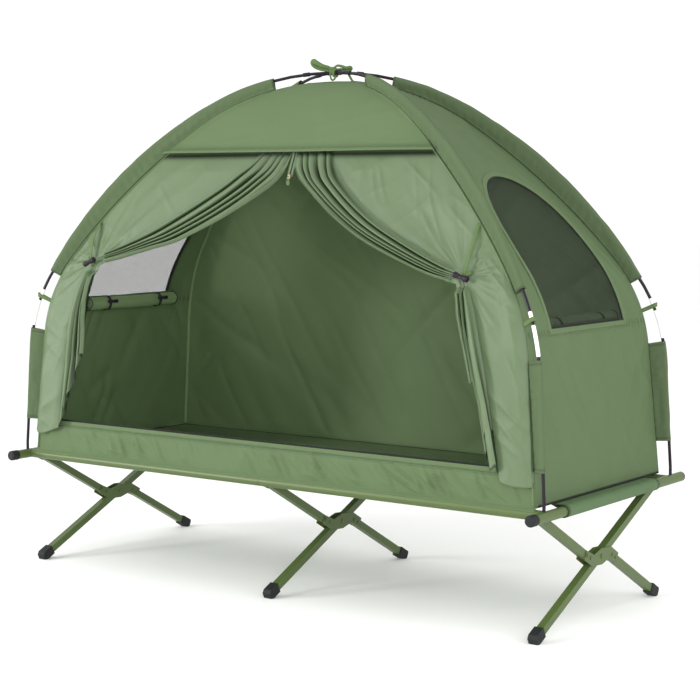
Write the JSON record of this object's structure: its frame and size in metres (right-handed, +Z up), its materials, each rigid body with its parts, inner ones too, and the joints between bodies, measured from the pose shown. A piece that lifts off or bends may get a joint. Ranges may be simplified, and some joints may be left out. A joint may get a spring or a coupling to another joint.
{
  "type": "folding camping cot with tent",
  "caption": "Folding camping cot on crossed square-tube legs with a one-person domed tent standing on it, door curtains tied back and arched net windows at both ends.",
  "frame": {"origin": "on the floor below the middle of the cot", "axes": "+X along the bed, +Y from the door side to the back, +Z up"},
  "size_m": [1.8932, 0.874, 1.5528],
  "materials": {
    "green_paint": "satin paint",
    "black_plastic": "moulded, fine grain",
    "toggle_plastic": "moulded",
    "bare_steel": "drawn tube",
    "white_rod": "glass-fibre rod",
    "black_rod": "coated glass-fibre rod",
    "window_net": "fine net",
    "end_fabric": "coated polyester",
    "curtain_fabric": "light polyester",
    "green_webbing": "webbing",
    "zip_metal": "worn",
    "bed_cloth": "heavy polyester",
    "tent_fabric": "coated polyester"
  },
  "bodies": {
    "cot_front": {"front_rail_left": "green_paint", "front_rail_right": "green_paint", "front_rail_spigot": "bare_steel", "front_hinge_ears": "green_paint", "front_hinge_pins": "green_paint", "head_bar": "green_paint", "foot_bar": "green_paint", "bar_end_caps": "black_plastic", "bed_fabric": "bed_cloth"},
    "cot_rear": {"rear_rail_left": "green_paint", "rear_rail_right": "green_paint", "rear_rail_spigot": "bare_steel", "rear_hinge_ears": "green_paint", "rear_hinge_pins": "green_paint"},
    "long_legs": {"long_leg_left": "green_paint", "long_leg_middle": "green_paint", "long_leg_right": "green_paint", "front_feet": "black_plastic"},
    "short_legs": {"short_legs_left": "green_paint", "short_legs_middle": "green_paint", "short_legs_right": "green_paint", "cross_plates_left": "green_paint", "cross_plates_middle": "green_paint", "cross_plates_right": "green_paint", "cross_pins": "green_paint", "plate_rivets": "green_paint", "rear_feet": "black_plastic"},
    "door_toggle_left": {"door_toggle_left": "toggle_plastic"},
    "door_toggle_right": {"door_toggle_right": "toggle_plastic"},
    "roll_toggle_front": {"roll_toggle_front": "toggle_plastic"},
    "roll_toggle_rear": {"roll_toggle_rear": "toggle_plastic"},
    "zip_puller": {"zip_puller": "zip_metal"},
    "tent": {"pole_front_left": "black_rod", "pole_front_right": "black_rod", "pole_rear_left": "black_rod", "pole_rear_right": "black_rod", "pole_tips": "black_rod", "pole_ferrules": "white_rod", "apex_hub": "black_rod", "apex_bow": "green_webbing", "sleeve_front_left": "tent_fabric", "sleeve_front_right": "tent_fabric", "sleeve_rear_left": "tent_fabric", "sleeve_rear_right": "tent_fabric", "corner_pockets": "tent_fabric", "strap_loops": "green_webbing", "tent_floor": "end_fabric", "front_sill": "tent_fabric", "rear_wall": "tent_fabric", "roof_front": "tent_fabric", "roof_crown": "tent_fabric", "left_end_wall": "end_fabric", "right_end_wall": "end_fabric", "left_window_mesh": "window_net", "right_window_mesh": "window_net", "left_window_roll": "end_fabric", "right_window_roll": "end_fabric", "curtain_left": "curtain_fabric", "curtain_right": "curtain_fabric", "curtain_ties": "green_webbing", "roll_cords": "green_webbing"}
  },
  "joints": [
    {"name": "frame_fold", "type": "hinge", "parent": "cot_front", "child": "short_legs", "pos_m": [0, -0.32329, 0.32603], "axis": [1, 0, 0], "range_deg": [-60, 0], "deforming": ["bed_fabric"]},
    {"name": "cross_fold", "type": "hinge", "parent": "short_legs", "child": "long_legs", "pos_m": [0, 0, 0.17322], "axis": [1, 0, 0], "range_deg": [0, 120]},
    {"name": "rail_fold", "type": "hinge", "parent": "long_legs", "child": "cot_rear", "pos_m": [0, 0.32329, 0.32603], "axis": [1, 0, 0], "range_deg": [-60, 0]},
    {"name": "tent_lift", "type": "slide", "parent": "cot_front", "child": "tent", "axis": [0, 0, 1], "range_m": [0, 0.3]},
    {"name": "door_toggle_left_turn", "type": "hinge", "parent": "tent", "child": "door_toggle_left", "pos_m": [-0.678, -0.33545, 0.945], "axis": [0, 1, 0], "range_deg": [-60, 60]},
    {"name": "door_toggle_right_turn", "type": "hinge", "parent": "tent", "child": "door_toggle_right", "pos_m": [0.66, -0.33545, 0.938], "axis": [0, 1, 0], "range_deg": [-60, 60]},
    {"name": "roll_toggle_front_turn", "type": "hinge", "parent": "tent", "child": "roll_toggle_front", "pos_m": [-0.78658, -0.118, 0.81], "axis": [1, 0, 0], "range_deg": [-60, 60]},
    {"name": "roll_toggle_rear_turn", "type": "hinge", "parent": "tent", "child": "roll_toggle_rear", "pos_m": [-0.78658, 0.118, 0.81], "axis": [1, 0, 0], "range_deg": [-60, 60]},
    {"name": "zip_puller_swing", "type": "hinge", "parent": "tent", "child": "zip_puller", "pos_m": [0.012, -0.23416, 1.2], "axis": [0, 1, 0], "range_deg": [-60, 60]}
  ],
  "couplings": [
    {"joint": "cross_fold", "follows": "frame_fold", "ratio": -2},
    {"joint": "rail_fold", "follows": "frame_fold", "ratio": 1}
  ]
}
